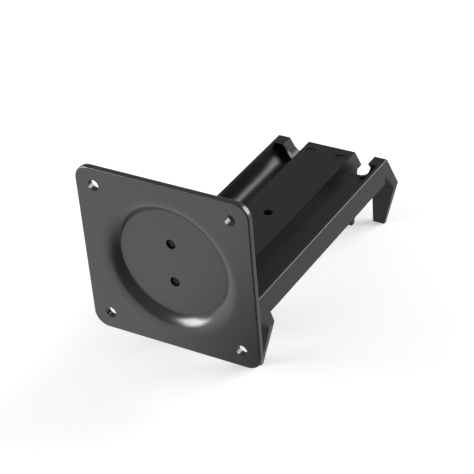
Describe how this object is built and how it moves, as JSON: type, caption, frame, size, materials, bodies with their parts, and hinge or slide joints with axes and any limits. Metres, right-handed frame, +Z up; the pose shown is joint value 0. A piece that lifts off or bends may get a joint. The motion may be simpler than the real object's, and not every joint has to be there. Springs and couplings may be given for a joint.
{
  "type": "speaker wall bracket",
  "caption": "Square pressed wall plate with a round dish, carrying a ribbed arm of a centre beam between two trough rails on tapered legs.",
  "frame": {"origin": "centre of the wall plate's hole pattern, on the side that bears on the wall", "axes": "+X along the wall, +Y away from the wall along the arm, +Z up"},
  "size_m": [0.11, 0.2065, 0.1381],
  "materials": {
    "plate_coat": "satin black powder coat on pressed steel",
    "arm_coat": "satin black coat on an aluminium casting",
    "zinc": "zinc-plated steel",
    "pad_rubber": "matt black rubber"
  },
  "bodies": {
    "root": {"wall_plate": "plate_coat", "arm": "arm_coat", "flange_bolts": "zinc", "flange_washers": "zinc", "sole_pad_near_left": "pad_rubber", "sole_pad_near_right": "pad_rubber", "sole_pad_far_left": "pad_rubber", "sole_pad_far_right": "pad_rubber", "sole_pad_centre": "pad_rubber"}
  },
  "joints": []
}
